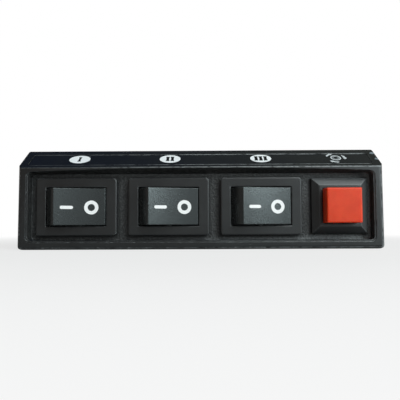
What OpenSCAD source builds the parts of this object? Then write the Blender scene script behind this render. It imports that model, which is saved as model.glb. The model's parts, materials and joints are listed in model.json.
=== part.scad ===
// Switch panel: a shallow moulded housing with a recessed face, a sloping label face above it,
// three rocker switches and one push button, with the moving and contact pieces inside each.
// Millimetres. +X is right as the panel is looked at, -Y comes out of the panel, +Z is up.
// The origin is midway between the two screw bosses, on the plane of the back rim.

/* [Housing] */
// Lean of each side wall in degrees, so that the top is narrower
side_lean = 0.25; // [0.1:0.05:1]
// Depth from the front face to the back rim
housing_d = 23.5; // [22:0.1:40]
// How far the label slope rises above the front face
slope_rise = 5.45; // [4:0.05:9]
// How far the label slope runs back from the front face
slope_run = 7.75; // [7:0.05:12]
// Wall thickness of the housing
wall_t = 1.9; // [1.4:0.05:2.2]
// Rounding of the upright front edges
side_edge_r = 1.1; // [0.5:0.1:1.8]
// Rounding of the lower front edge
low_edge_r = 0.9; // [0.4:0.1:1.4]
// Rounding of the two lower corners seen from the front
corner_r = 1.5; // [0.6:0.1:2]
// Rounding of the two upper corners seen from the front
top_corner_r = 0.4; // [0.3:0.1:1.2]
// Depth of the locating step around the back rim
rim_step_d = 2.4; // [1.5:0.1:4]
// How far the back rim is set in
rim_step_t = 0.8; // [0.4:0.1:1]

/* [Recess] */
// Depth of the recess behind the front face
recess_d = 3.45; // [2.8:0.05:4.5]
// Width of the rim at each side of the recess
rim_side = 2.55; // [2:0.05:3]
// Height of the recess floor's lower edge above the underside
floor_raise = 2.35; // [2:0.05:3.5]
// Distance of the recess floor's upper edge below the front edge
floor_drop = 1.4; // [1.3:0.05:2.5]
// Gap between the rocker bezels and the recess floor's lower edge
low_gap = 1.15; // [0.6:0.05:4]
// Gap between the rocker bezels and the recess floor's upper edge
high_gap = 1.15; // [0.6:0.05:1.6]
// Gap between the left end of the recess and the first rocker bezel
left_gap = 1.75; // [0.6:0.05:5]
// Gap between neighbouring rocker bezels
rocker_gap = 2.9; // [0.8:0.05:6]
// Gap between the last rocker bezel and the push button bezel
button_gap = 2.65; // [1.5:0.05:6]
// Gap between the push button bezel and the right end of the recess
right_gap = 1.1; // [0.6:0.05:5]
// Lean of the lower recess wall between floor and front
low_lean = 0.1; // [0.05:0.05:0.7]
// Land left above the recess at its ends
end_land = 1.05; // [0.8:0.05:1.3]
// Land left above the recess at the crown of its arched edge
mid_land = 0.15; // [0.1:0.05:0.5]
// Rounding of the recess corners
recess_corner_r = 1; // [0.6:0.1:1.4]
// Width of the fine step along the sides and the lower edge of the recess mouth
step_w = 0.4; // [0.2:0.05:0.6]
// Depth of that step
step_d = 0.3; // [0.15:0.05:0.5]
// Thickness of the plate that carries the switches
floor_t = 2; // [1.6:0.1:2.4]

/* [Fixing] */
// Distance of each screw boss from the outside of the side wall
boss_in = 8.85; // [8:0.1:12]
// Height of the screw bosses above the switch centre line
boss_up = 10.2; // [10.1:0.05:10.5]
// Radius of a screw boss
boss_r = 2.7; // [2.4:0.1:2.9]
// Radius of the screw pilot hole
pilot_r = 1.1; // [0.9:0.05:1.4]
// Depth of the screw pilot hole
pilot_d = 12; // [8:0.5:16]
// Thickness of the stiffening ribs
rib_t = 1.2; // [0.8:0.1:1.6]
// Depth of the stiffening ribs behind the plate
rib_d = 7; // [4:0.5:10]

/* [Label strip] */
// Distance of the strip's ends from the outside of the side walls
strip_in = 2.2; // [1.8:0.1:5]
// Height of the label strip along the slope
strip_h = 6; // [4:0.05:6.4]
// Start of the strip pocket above the front edge, along the slope
strip_up = 1.25; // [1:0.05:2.4]
// Thickness of the label strip
strip_t = 0.25; // [0.15:0.05:0.4]
// Depth of the strip pocket
pocket_d = 0.35; // [0.25:0.05:0.6]
// Gap around the strip in its pocket
strip_gap = 0.1; // [0.05:0.05:0.3]
// Corner rounding of the strip pocket
strip_corner_r = 1; // [0.6:0.1:2.5]

/* [Rocker switches] */
// Width of the rocker bezel
bezel_w = 21; // [20.4:0.1:21.4]
// Height of the rocker bezel
bezel_h = 15; // [14.4:0.1:16]
// Thickness of the rocker bezel
bezel_t = 2; // [1.6:0.05:2.4]
// Corner rounding of the rocker bezel
bezel_corner_r = 1.2; // [0.6:0.1:2]
// Edge rounding of the rocker bezel
bezel_edge_r = 0.35; // [0.2:0.05:0.6]
// Width of the rocker body
body_w = 19; // [18.6:0.1:19.4]
// Height of the rocker body
body_h = 12.8; // [12.4:0.1:13.4]
// Thickness of the rear wall of each switch body
back_t = 1.2; // [0.8:0.1:1.6]
// Gap between a switch body and its cut-out on each side
cut_gap = 0.1; // [0.05:0.05:0.2]
// How far the snap barbs stand out
barb_out = 0.5; // [0.3:0.05:0.7]
// Width of the snap barbs
barb_w = 4; // [3:0.5:6]
// Length of the snap barbs
barb_l = 3.2; // [2:0.1:4]

/* [Rocker paddle] */
// Depth of the pivot below the recess floor
pivot_in = 1.4; // [1.2:0.05:1.6]
// Lean of the paddle each way from level
paddle_tilt = 14.3; // [12:0.1:15]
// Radius of the paddle end walls about the pivot
paddle_r = 8.35; // [8:0.05:8.5]
// Half length of the paddle top
paddle_half = 6.4; // [6:0.05:6.6]
// Width of the paddle
paddle_w = 9.4; // [8.6:0.05:9.6]
// Hollow of the paddle top at its middle
paddle_dish = 0.4; // [0.2:0.05:0.8]
// Wall thickness of the paddle
paddle_t = 1.1; // [0.8:0.05:1.3]
// Reach of the paddle skirt behind the pivot
skirt_in = 1.6; // [1.2:0.1:2.2]
// Gap between the paddle end walls and their round seat
seat_gap = 0.15; // [0.1:0.05:0.25]
// Gap between the paddle sides and the bezel opening
side_gap = 0.35; // [0.2:0.05:0.5]
// Radius of the pivot pins
pin_r = 0.95; // [0.8:0.05:1.2]
// Length of the pivot pins inside the body wall
pin_in = 0.85; // [0.6:0.05:0.95]
// Running clearance around every pin and plunger
run_gap = 0.06; // [0.03:0.01:0.1]

/* [Rocker contacts] */
// Radius of the spring plunger
plunger_r = 1.1; // [0.9:0.05:1.2]
// Distance from the pivot to the plunger tip
tip_l = 7.4; // [7.2:0.05:7.6]
// Length of the plunger
plunger_l = 5; // [4:0.1:5.5]
// Wall thickness of the plunger post
post_t = 0.6; // [0.5:0.05:0.9]
// Distance from the pivot to the end of the post
post_l = 5.4; // [4.6:0.1:5.8]
// Length of the plunger spring
plunger_spring_l = 5; // [4:0.1:5.5]
// Wire diameter of the plunger spring
plunger_wire = 0.3; // [0.2:0.05:0.4]
// Turns of the plunger spring
plunger_turns = 6; // [4:1:8]
// Rise of each arm of the contact blade
blade_rise = 8; // [7.6:0.1:8.4]
// Length of each arm of the contact blade
blade_arm = 6; // [5.4:0.1:6.4]
// Thickness of the contact blade
blade_t = 0.4; // [0.3:0.05:0.5]
// Width of the contact blade
blade_w = 3.3; // [2.6:0.1:3.8]
// Gap between the plunger tip and the middle of the blade
tip_gap = 0.12; // [0.1:0.01:0.2]
// Distance of the contact rivets from the blade middle
rivet_x = 5; // [4.4:0.1:5.2]
// Radius of the contact rivets
rivet_r = 0.9; // [0.7:0.05:1.1]
// Height of the contact rivets
rivet_h = 0.35; // [0.25:0.05:0.45]
// Gap left where contact pieces meet
touch_gap = 0.05; // [0.03:0.01:0.08]
// Width of the rocker solder tabs
tab_w = 4.8; // [4:0.1:5.2]
// Thickness of the solder tabs
tab_t = 0.8; // [0.5:0.05:0.9]
// Length of the solder tabs behind the switch bodies
tab_l = 6.8; // [5:0.1:7]
// Sideways place of the end tab
end_tab_x = 6.4; // [6:0.1:6.8]
// Radius of the hole in each solder tab
tab_hole_r = 0.7; // [0.5:0.05:0.8]

/* [Push button] */
// Width of the push button bezel over its foot
button_w = 14.3; // [14:0.1:14.8]
// Width of the bezel around the cap
button_top_w = 10.7; // [10.2:0.1:11.6]
// Height of the upright foot of the bezel
button_foot = 1; // [0.3:0.05:1.2]
// Height of the bezel top above the recess floor
button_rise = 2; // [1.6:0.05:2.4]
// Width of the push button body
button_body_w = 12.4; // [12.2:0.1:12.8]
// Width of the square cap
cap_w = 8.8; // [8.4:0.05:9.2]
// Height of the cap face above the recess floor
cap_rise = 5.9; // [5:0.05:7]
// Rounding of the cap edges
cap_edge_r = 0.35; // [0.2:0.05:0.6]
// Thickness of the cap shell
cap_t = 1.1; // [0.8:0.05:1.2]
// Travel of the cap
cap_travel = 2.4; // [1.6:0.1:2.6]
// Gap around the cap in its bezel
cap_gap = 0.1; // [0.06:0.01:0.15]
// Radius of the cap stem
stem_r = 2.4; // [2.2:0.05:2.5]
// Depth of the stem guide behind the recess floor
guide_in = 3.4; // [3:0.1:3.6]
// Thickness of the stem guide
guide_t = 1.2; // [1:0.1:1.6]
// Wire diameter of the return spring
return_wire = 0.4; // [0.3:0.05:0.45]
// Turns of the return spring
return_turns = 6; // [4:1:8]
// Radius of the contact carrier
carrier_r = 3.6; // [3.2:0.1:3.9]
// Thickness of the contact carrier flange
carrier_t = 0.9; // [0.7:0.05:1.1]
// Radius of the contact carrier post
carrier_post_r = 1.9; // [1.8:0.05:2]
// Radius of the stem spigot in the carrier
spigot_r = 1.2; // [1:0.05:1.3]
// Half length of the contact bridge
bridge_half = 4.4; // [4.2:0.1:4.6]
// Width of the contact bridge
bridge_w = 4.6; // [4.4:0.1:5]
// Distance of the bridge rivets from the middle
bridge_rivet_x = 3.5; // [3.4:0.1:3.6]
// Width of the button solder tabs
small_tab_w = 2.8; // [2.2:0.1:3.4]
// Thickness of the button solder tabs
small_tab_t = 0.5; // [0.4:0.05:0.6]

/* [Hidden] */
$fn = 48;

// Places along the width
rocker_pitch = bezel_w + rocker_gap;
rockers_w = 3 * bezel_w + 2 * rocker_gap;
recess_w = left_gap + rockers_w + button_gap + button_w + right_gap;
housing_w = recess_w + 2 * rim_side;
strip_w = housing_w - 2 * strip_in;
boss_pitch = housing_w - 2 * boss_in;
rocker_x = left_gap + bezel_w / 2 - recess_w / 2;
last_edge = left_gap + rockers_w - recess_w / 2;
button_x = last_edge + button_gap + button_w / 2;

// Places along the height
floor_low = bezel_h / 2 + low_gap;
floor_high = bezel_h / 2 + high_gap;
line_up = floor_low + floor_raise;
front_h = line_up + floor_high + floor_drop;

// Places of the main planes
line_z = -boss_up;
floor_y = recess_d - housing_d;
front_y = -housing_d;
low_z = line_z - line_up;
edge_z = low_z + front_h;
top_z = edge_z + slope_rise;
slope_a = atan2(slope_rise, slope_run);
slope_l = sqrt(slope_rise * slope_rise + slope_run * slope_run);

// Cut-outs in the plate
cut_w = body_w + 2 * cut_gap;
cut_h = body_h + 2 * cut_gap;
button_cut = button_body_w + 2 * cut_gap;

// Rocker sizes that follow from the pivot
paddle_top = sqrt(paddle_r * paddle_r - paddle_half * paddle_half);
dish_r = (paddle_half * paddle_half + paddle_dish * paddle_dish) / (2 * paddle_dish);
opening_h = paddle_w + 2 * side_gap;
seat_r = paddle_r + seat_gap;
bore_r = plunger_r + run_gap;
post_r = bore_r + post_t;
spring_end = tip_l - plunger_l;
blade_in = pivot_in + tip_l + tip_gap + blade_t;
fulcrum_in = blade_in + touch_gap;
rivet_in = blade_in + rivet_h + touch_gap;
foot_t = 0.6;
foot_in = rivet_in + rivet_h;
wall_in = foot_in + foot_t;
body_d = wall_in + back_t;
tab_end = body_d + tab_l;

// Push button sizes that follow from the travel
pocket_w = cap_w + 2 * cap_gap;
hollow_w = cap_w - 2 * cap_t;
carrier_in = guide_in + guide_t + touch_gap;
bridge_in = carrier_in + carrier_t;
bridge_t = 0.4;
bridge_rivet_h = 0.4;
fixed_in = bridge_in + bridge_t + bridge_rivet_h + cap_travel + touch_gap;
base_in = fixed_in + bridge_rivet_h + small_tab_t;
button_d = base_in + back_t;
inner_w = button_body_w - 2.4;
base_w = inner_w + 0.9;
small_tab_x = bridge_rivet_x + 0.7;

// A rectangle about the middle with four rounded corners
module round_rect(w, h, r) {
  square([w - 2 * r, h], center = true);
  square([w, h - 2 * r], center = true);
  for (x = [-1, 1], y = [-1, 1])
    translate([x * (w / 2 - r), y * (h / 2 - r)]) circle(r);
}

// A rectangle from y = 0 to y = h with its two far corners rounded
module arch_rect(w, h, r) {
  translate([-w / 2 + r, 0]) square([w - 2 * r, h]);
  translate([-w / 2, 0]) square([w, h - r]);
  for (x = [-1, 1])
    translate([x * (w / 2 - r), h - r]) circle(r);
}

// A block standing out towards -Y from y = 0, with rounded outline and rounded outer edges
module soft_block(w, h, d, outline_r, edge_r) {
  intersection() {
    rotate([90, 0, 0]) linear_extrude(d) round_rect(w, h, outline_r);
    translate([0, 0, -h]) linear_extrude(2 * h) mirror([0, 1]) arch_rect(w, d, edge_r);
    translate([-w, 0, 0]) rotate([90, 0, 90]) linear_extrude(2 * w) rotate(90) arch_rect(h, d, edge_r);
  }
}

// A coil of round wire along +Y from y = 0, closed at both ends
module coil(mean_r, wire_d, length, turns) {
  steps = 14;
  sides = 6;
  count = turns * steps;
  rise = length - wire_d;
  ring = [for (i = [0 : count], k = [0 : sides - 1])
    let (a = 360 * i / steps, b = 360 * k / sides,
      r = mean_r + wire_d / 2 * cos(b),
      y = wire_d / 2 + rise * i / count + wire_d / 2 * sin(b))
    [r * cos(a), y, r * sin(a)]];
  skin = [for (i = [0 : count - 1], k = [0 : sides - 1])
    let (n = (k + 1) % sides)
    [i * sides + k, (i + 1) * sides + k, (i + 1) * sides + n, i * sides + n]];
  first = [[for (k = [0 : sides - 1]) k]];
  last = [[for (k = [sides - 1 : -1 : 0]) count * sides + k]];
  polyhedron(points = ring, faces = concat(skin, first, last));
}

// Housing
// Side view of the outside, drawn as depth and height
module side_outline() {
  r = low_edge_r;
  polygon([
    [front_y, low_z + r], [front_y, edge_z], [front_y + slope_run, top_z],
    [0, top_z], [0, low_z], [front_y + r, low_z]
  ]);
  translate([front_y + r, low_z + r]) circle(r);
}

// Front view of the outside, a little narrower at the top, with rounded corners
module face_outline() {
  c = cos(side_lean);
  s = sin(side_lean);
  t = tan(side_lean);
  low_x = housing_w / 2 - corner_r * t - corner_r / c;
  high_x = housing_w / 2 - (top_z - top_corner_r - low_z) * t - top_corner_r / c;
  for (m = [0, 1]) mirror([m, 0]) {
    polygon([
      [0, low_z], [low_x, low_z],
      [low_x + corner_r * c, low_z + corner_r + corner_r * s],
      [high_x + top_corner_r * c, top_z - top_corner_r + top_corner_r * s],
      [high_x, top_z], [0, top_z]
    ]);
    translate([low_x, low_z + corner_r]) circle(corner_r);
    translate([high_x, top_z - top_corner_r]) circle(top_corner_r);
  }
}

// Everything inside one leaning side wall, with its upright front edge rounded
module side_limit(m) {
  mirror([m, 0, 0]) translate([housing_w / 2, 0, low_z]) rotate([0, -side_lean, 0])
    translate([-housing_w, 0, -5]) linear_extrude(top_z - low_z + 10)
    mirror([0, 1]) arch_rect(2 * housing_w, housing_d, side_edge_r);
}

// Side view of the space behind the plate
module side_space() {
  lift = wall_t / cos(slope_a);
  slope_top = edge_z - lift;
  in_y = floor_y + floor_t;
  join_y = front_y + (top_z - wall_t - slope_top) / tan(slope_a);
  polygon([
    [in_y, low_z + wall_t], [1, low_z + wall_t], [1, top_z - wall_t],
    [join_y, top_z - wall_t], [in_y, slope_top + (in_y - front_y) * tan(slope_a)]
  ]);
}

// Front view of the recess mouth, with its upper edge arched
module mouth_outline() {
  half = recess_w / 2;
  low = line_z - floor_low - low_lean;
  end = edge_z - end_land;
  crown = edge_z - mid_land;
  sag = crown - end;
  big = (half * half + sag * sag) / (2 * sag);
  r = recess_corner_r;
  translate([0, (low + end) / 2]) round_rect(recess_w, end - low, r);
  intersection() {
    translate([0, crown - big]) circle(big, $fn = 1800);
    translate([r - half, end - 1]) square([2 * (half - r), sag + 1]);
  }
}

// Front view of the fine step, which runs out into the mouth at its two upper corners
module step_outline() {
  low = line_z - floor_low - low_lean - step_w;
  end = edge_z - end_land;
  translate([0, (low + end) / 2])
    round_rect(recess_w + 2 * step_w, end - low, recess_corner_r + step_w);
}

// The recess, its upper wall sweeping up into the arch, with a fine step below and beside its mouth
module recess_cut() {
  floor_h = floor_low + floor_high;
  hull() {
    translate([0, floor_y, line_z + (floor_high - floor_low) / 2])
      rotate([90, 0, 0]) linear_extrude(0.01) round_rect(recess_w, floor_h, recess_corner_r, $fn = 32);
    translate([0, front_y, 0])
      rotate([90, 0, 0]) linear_extrude(0.5) mouth_outline($fn = 32);
  }
  translate([0, front_y + step_d, 0])
    rotate([90, 0, 0]) linear_extrude(step_d + 1) step_outline($fn = 32);
}

module boss(x) {
  start = floor_y + floor_t - 0.5;
  difference() {
    union() {
      translate([x, 0, 0]) rotate([90, 0, 0]) cylinder(r = boss_r, h = -start);
      translate([x - rib_t / 2, start, 0]) cube([rib_t, -start - rim_step_d, top_z - wall_t + 0.5]);
    }
    translate([x, 1, 0]) rotate([90, 0, 0]) cylinder(r = pilot_r, h = pilot_d + 1);
  }
}

module rib(x) {
  start = floor_y + floor_t - 0.5;
  translate([x - rib_t / 2, start, low_z + wall_t - 0.5])
    cube([rib_t, rib_d + 0.5, top_z - low_z - 2 * wall_t + 1]);
}

module housing() {
  color("#2b2d2e") difference() {
    union() {
      difference() {
        intersection() {
          translate([-housing_w / 2, 0, 0]) rotate([90, 0, 90]) linear_extrude(housing_w) side_outline();
          side_limit(0);
          side_limit(1);
          translate([0, 1, 0]) rotate([90, 0, 0]) linear_extrude(housing_d + 2) face_outline();
        }
        translate([-housing_w / 2 + wall_t, 0, 0]) rotate([90, 0, 90])
          linear_extrude(housing_w - 2 * wall_t) side_space();
      }
      intersection() {
        union() {
          boss(-boss_pitch / 2);
          boss(boss_pitch / 2);
          rib(rocker_x + rocker_pitch / 2);
          rib(rocker_x + rocker_pitch * 1.5);
          rib((last_edge + button_x - button_w / 2) / 2);
        }
        translate([-housing_w / 2 + 1, 0, 0]) rotate([90, 0, 90])
          linear_extrude(housing_w - 2) side_outline();
      }
    }
    recess_cut();
    strip_pocket();
    rim_cut();
    for (i = [0 : 2]) switch_cut(rocker_x + i * rocker_pitch, cut_w, cut_h);
    switch_cut(button_x, button_cut, button_cut);
  }
}

module switch_cut(x, w, h) {
  translate([x - w / 2, floor_y - 0.5, line_z - h / 2]) cube([w, floor_t + 1, h]);
}

module rim_cut() {
  t = rim_step_t;
  difference() {
    translate([-housing_w / 2 - 1, -rim_step_d, low_z - 1])
      cube([housing_w + 2, rim_step_d + 1, top_z - low_z + 2]);
    translate([-housing_w / 2 + t, -rim_step_d - 1, low_z + t])
      cube([housing_w - 2 * t, rim_step_d + 3, top_z - low_z - 2 * t]);
  }
}

module on_slope(up) {
  translate([0, front_y, edge_z]) rotate([slope_a, 0, 0]) translate([0, up, 0]) children();
}

module strip_pocket() {
  w = strip_w + 2 * strip_gap;
  h = strip_h + 2 * strip_gap;
  on_slope(strip_up + h / 2) translate([0, 0, -pocket_d])
    linear_extrude(pocket_d + 1) round_rect(w, h, strip_corner_r);
}

// Label strip
module label_strip() {
  color("#1c1e22") on_slope(strip_up + strip_gap + strip_h / 2) translate([0, 0, -pocket_d])
    linear_extrude(strip_t) round_rect(strip_w, strip_h, strip_corner_r - strip_gap);
}

// Rocker switches
// Puts the children at one switch, with y counted inwards from the recess floor
module at_switch(x) {
  translate([x, floor_y, line_z]) children();
}

// Snap barbs at both ends of a body, catching behind the plate
module barbs(w) {
  catch_y = floor_t + touch_gap;
  for (s = [0, 1]) mirror([s, 0, 0])
    translate([0, 0, -barb_w / 2]) linear_extrude(barb_w)
      polygon([
        [w / 2 - 0.5, catch_y], [w / 2 + barb_out, catch_y], [w / 2 + barb_out, catch_y + 0.6],
        [w / 2, catch_y + barb_l], [w / 2 - 0.5, catch_y + barb_l]
      ]);
}

module rocker_frame(x) {
  slot_w = tab_w + 2 * touch_gap;
  slot_t = tab_t + 2 * touch_gap;
  color("#303234") at_switch(x) {
    difference() {
      union() {
        soft_block(bezel_w, bezel_h, bezel_t, bezel_corner_r, bezel_edge_r);
        translate([-body_w / 2, -0.5, -body_h / 2]) cube([body_w, body_d + 0.5, body_h]);
        barbs(body_w);
      }
      translate([0, pivot_in, -opening_h / 2]) cylinder(r = seat_r, h = opening_h, $fn = 96);
      translate([-seat_r + 0.6, pivot_in, -opening_h / 2])
        cube([2 * seat_r - 1.2, wall_in - pivot_in, opening_h]);
      translate([0, pivot_in, -opening_h / 2 - pin_in - 0.1])
        cylinder(r = pin_r + run_gap, h = opening_h + 2 * pin_in + 0.2);
      for (s = [0, end_tab_x])
        translate([s - slot_t / 2, wall_in - 0.5, -slot_w / 2]) cube([slot_t, back_t + 1, slot_w]);
    }
    translate([-rivet_x - rivet_r, fulcrum_in, -blade_w / 2 - 0.5])
      cube([2 * rivet_r, wall_in - fulcrum_in + 0.2, blade_w + 1]);
  }
}

// Turns the children with the paddle as it stands switched off
module at_paddle(x) {
  at_switch(x) translate([0, pivot_in, 0]) rotate([0, 0, paddle_tilt]) children();
}

module paddle_outline(in) {
  difference() {
    circle(paddle_r - in, $fn = 96);
    translate([0, -dish_r - paddle_top + paddle_dish]) circle(dish_r + in, $fn = 720);
    translate([-20, skirt_in + (in > 0 ? 1 : 0)]) square([40, 20]);
  }
}

module rocker_paddle(x) {
  side_t = 1;
  post_start = -paddle_top + paddle_dish + paddle_t / 2;
  pin_l = paddle_w / 2 + side_gap + pin_in;
  color("#3a3c3e") at_paddle(x) difference() {
    union() {
      difference() {
        translate([0, 0, -paddle_w / 2]) linear_extrude(paddle_w) paddle_outline(0);
        translate([0, 0, -paddle_w / 2 + side_t])
          linear_extrude(paddle_w - 2 * side_t) paddle_outline(paddle_t);
      }
      translate([0, post_l, 0]) rotate([90, 0, 0]) cylinder(r = post_r, h = post_l - post_start);
      translate([-0.4, post_start, -paddle_w / 2 + 0.5]) cube([0.8, skirt_in - post_start, paddle_w - 1]);
      translate([0, 0, -pin_l]) cylinder(r = pin_r, h = pin_l - paddle_w / 2 + 0.5);
      translate([0, 0, paddle_w / 2 - 0.5]) cylinder(r = pin_r, h = pin_l - paddle_w / 2 + 0.5);
    }
    translate([0, post_l + 1, 0]) rotate([90, 0, 0])
      cylinder(r = bore_r, h = post_l + 1 - spring_end + plunger_spring_l);
  }
}

module rocker_spring(x) {
  color("#b9bcc0") at_paddle(x) translate([0, spring_end - plunger_spring_l, 0])
    coil(bore_r - 0.12 - plunger_wire / 2, plunger_wire, plunger_spring_l, plunger_turns);
}

module rocker_plunger(x) {
  color("#d9d4c4") at_paddle(x) {
    translate([0, tip_l - plunger_r, 0]) rotate([90, 0, 0])
      cylinder(r = plunger_r, h = plunger_l - plunger_r);
    translate([0, tip_l - plunger_r, 0]) sphere(plunger_r);
  }
}

module rocker_blade(x) {
  c = cos(blade_rise);
  s = sin(blade_rise);
  end_x = blade_arm * c;
  end_y = -blade_arm * s;
  color("#c58a4a") at_switch(x) translate([0, blade_in, 0]) rotate([0, 0, -blade_rise]) {
    translate([0, 0, -blade_w / 2]) linear_extrude(blade_w) polygon([
      [-end_x, end_y], [0, 0], [end_x, end_y],
      [end_x - blade_t * s, end_y - blade_t * c], [0, -blade_t / c],
      [-end_x + blade_t * s, end_y - blade_t * c]
    ]);
    rotate([0, 0, -blade_rise]) translate([rivet_x, rivet_h, 0]) rotate([90, 0, 0])
      cylinder(r = rivet_r, h = rivet_h + blade_t / 2);
  }
}

// A flat solder tab through the rear wall, with a hole and a pointed end
module tab(w, t, from, to) {
  rotate([90, 0, 90]) translate([0, 0, -t / 2]) linear_extrude(t) difference() {
    polygon([
      [from, -w / 2], [to - w / 4, -w / 2], [to, -w / 4], [to, w / 4], [to - w / 4, w / 2], [from, w / 2]
    ]);
    translate([to - w / 2, 0]) circle(min(tab_hole_r, w / 4));
  }
}

module rocker_centre_tab(x) {
  cradle = blade_w + 4 * touch_gap;
  full = cradle + 2;
  ear = blade_in - blade_t - 0.6;
  color("#cfd2d4") at_switch(x) {
    tab(tab_w, tab_t, wall_in - 0.3, tab_end);
    difference() {
      translate([-tab_t / 2, ear, -full / 2]) cube([tab_t, wall_in - ear, full]);
      translate([-tab_t, ear - 1, -cradle / 2]) cube([2 * tab_t, fulcrum_in - ear + 1, cradle]);
    }
  }
}

// A solder tab with an inner foot that carries the fixed contact
module footed_tab(w, t, tab_x, foot_y, foot_h, contact_x, contact_y, to) {
  near = contact_x - rivet_r - 0.1;
  far = max(contact_x + rivet_r + 0.1, tab_x + t / 2);
  translate([tab_x, 0, 0]) tab(w, t, foot_y, to);
  translate([near, foot_y, -w / 2]) cube([far - near, foot_h, w]);
  translate([contact_x, foot_y + foot_h / 2, 0]) rotate([90, 0, 0])
    cylinder(r = rivet_r, h = foot_y + foot_h / 2 - contact_y);
}

module rocker_end_tab(x) {
  color("#cfd2d4") at_switch(x)
    footed_tab(tab_w, tab_t, end_tab_x, foot_in, foot_t, rivet_x, rivet_in, tab_end);
}

// Push button
// A flat profile standing out from y = 0, upright at its foot and then leaning in
module bezel_profile(wide, narrow, foot, rise) {
  polygon([
    [-wide / 2, 0.4], [-wide / 2, -foot], [-narrow / 2, -rise],
    [narrow / 2, -rise], [wide / 2, -foot], [wide / 2, 0.4]
  ]);
}

// A square block about the Y axis between two depths
module square_block(w, from, to) {
  translate([-w / 2, from, -w / 2]) cube([w, to - from, w]);
}

module button_body() {
  color("#303234") at_switch(button_x) difference() {
    union() {
      intersection() {
        translate([0, 0, -button_w]) linear_extrude(2 * button_w)
          bezel_profile(button_w, button_top_w, button_foot, button_rise);
        rotate([0, 90, 0]) translate([0, 0, -button_w]) linear_extrude(2 * button_w)
          bezel_profile(button_w, button_top_w, button_foot, button_rise);
        square_block(button_w, -button_rise - 1, 0);
      }
      square_block(button_body_w, -0.3, button_d);
      barbs(button_body_w);
    }
    square_block(pocket_w, -button_rise - 1, guide_in);
    translate([0, guide_in + guide_t + 1, 0]) rotate([90, 0, 0])
      cylinder(r = stem_r + run_gap, h = guide_t + 2);
    square_block(inner_w, guide_in + guide_t, base_in + 0.1);
    square_block(base_w + 2 * touch_gap, base_in, button_d + 1);
  }
}

module button_cap() {
  skirt = 0.6;
  stem_top = cap_t + 0.1 - cap_rise;
  color("#c23a20") at_switch(button_x) {
    difference() {
      translate([0, -skirt, 0]) soft_block(cap_w, cap_w, cap_rise - skirt, cap_edge_r, cap_edge_r);
      square_block(hollow_w, cap_t - cap_rise, 0);
    }
    translate([0, carrier_in, 0]) rotate([90, 0, 0])
      cylinder(r = stem_r, h = carrier_in - stem_top + 0.3);
    translate([0, carrier_in + carrier_t + 0.6, 0]) rotate([90, 0, 0])
      cylinder(r = spigot_r, h = carrier_t + 1);
  }
}

module button_spring() {
  start = cap_t - cap_rise;
  color("#b9bcc0") at_switch(button_x) translate([0, start, 0])
    coil(stem_r + 0.25 + return_wire / 2, return_wire, guide_in - start, return_turns);
}

module button_carrier() {
  post_end = bridge_in + bridge_t + 0.9;
  color("#d9d4c4") at_switch(button_x) difference() {
    union() {
      translate([0, bridge_in, 0]) rotate([90, 0, 0]) cylinder(r = carrier_r, h = carrier_t);
      translate([0, post_end, 0]) rotate([90, 0, 0])
        cylinder(r = carrier_post_r, h = post_end - bridge_in + 0.2);
    }
    translate([0, carrier_in + carrier_t + 0.7, 0]) rotate([90, 0, 0])
      cylinder(r = spigot_r + run_gap / 2, h = carrier_t + 1.7);
  }
}

module button_bridge() {
  color("#c58a4a") at_switch(button_x) {
    difference() {
      translate([-bridge_half, bridge_in, -bridge_w / 2]) cube([2 * bridge_half, bridge_t, bridge_w]);
      translate([0, bridge_in + 1, 0]) rotate([90, 0, 0])
        cylinder(r = carrier_post_r + run_gap / 2, h = 2);
    }
    for (s = [-1, 1])
      translate([s * bridge_rivet_x, bridge_in + bridge_t + bridge_rivet_h, 0]) rotate([90, 0, 0])
        cylinder(r = rivet_r, h = bridge_rivet_h + bridge_t / 2);
  }
}

module button_base() {
  slot_w = small_tab_w + 2 * touch_gap;
  slot_t = small_tab_t + 2 * touch_gap;
  color("#303234") at_switch(button_x) difference() {
    square_block(base_w, base_in, button_d);
    for (s = [-1, 1])
      translate([s * small_tab_x - slot_t / 2, base_in - 1, -slot_w / 2]) cube([slot_t, back_t + 2, slot_w]);
  }
}

module button_tab(side) {
  color("#cfd2d4") at_switch(button_x) mirror([side, 0, 0])
    footed_tab(small_tab_w, small_tab_t, small_tab_x, base_in - small_tab_t, small_tab_t,
      bridge_rivet_x, fixed_in, button_d + tab_l);
}

// Each rocker switch in its place
function place(i) = rocker_x + i * rocker_pitch;
module rocker_1_frame() { rocker_frame(place(0)); }
module rocker_1_paddle() { rocker_paddle(place(0)); }
module rocker_1_spring() { rocker_spring(place(0)); }
module rocker_1_plunger() { rocker_plunger(place(0)); }
module rocker_1_blade() { rocker_blade(place(0)); }
module rocker_1_centre_tab() { rocker_centre_tab(place(0)); }
module rocker_1_end_tab() { rocker_end_tab(place(0)); }
module rocker_2_frame() { rocker_frame(place(1)); }
module rocker_2_paddle() { rocker_paddle(place(1)); }
module rocker_2_spring() { rocker_spring(place(1)); }
module rocker_2_plunger() { rocker_plunger(place(1)); }
module rocker_2_blade() { rocker_blade(place(1)); }
module rocker_2_centre_tab() { rocker_centre_tab(place(1)); }
module rocker_2_end_tab() { rocker_end_tab(place(1)); }
module rocker_3_frame() { rocker_frame(place(2)); }
module rocker_3_paddle() { rocker_paddle(place(2)); }
module rocker_3_spring() { rocker_spring(place(2)); }
module rocker_3_plunger() { rocker_plunger(place(2)); }
module rocker_3_blade() { rocker_blade(place(2)); }
module rocker_3_centre_tab() { rocker_centre_tab(place(2)); }
module rocker_3_end_tab() { rocker_end_tab(place(2)); }
module button_left_tab() { button_tab(1); }
module button_right_tab() { button_tab(0); }

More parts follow.
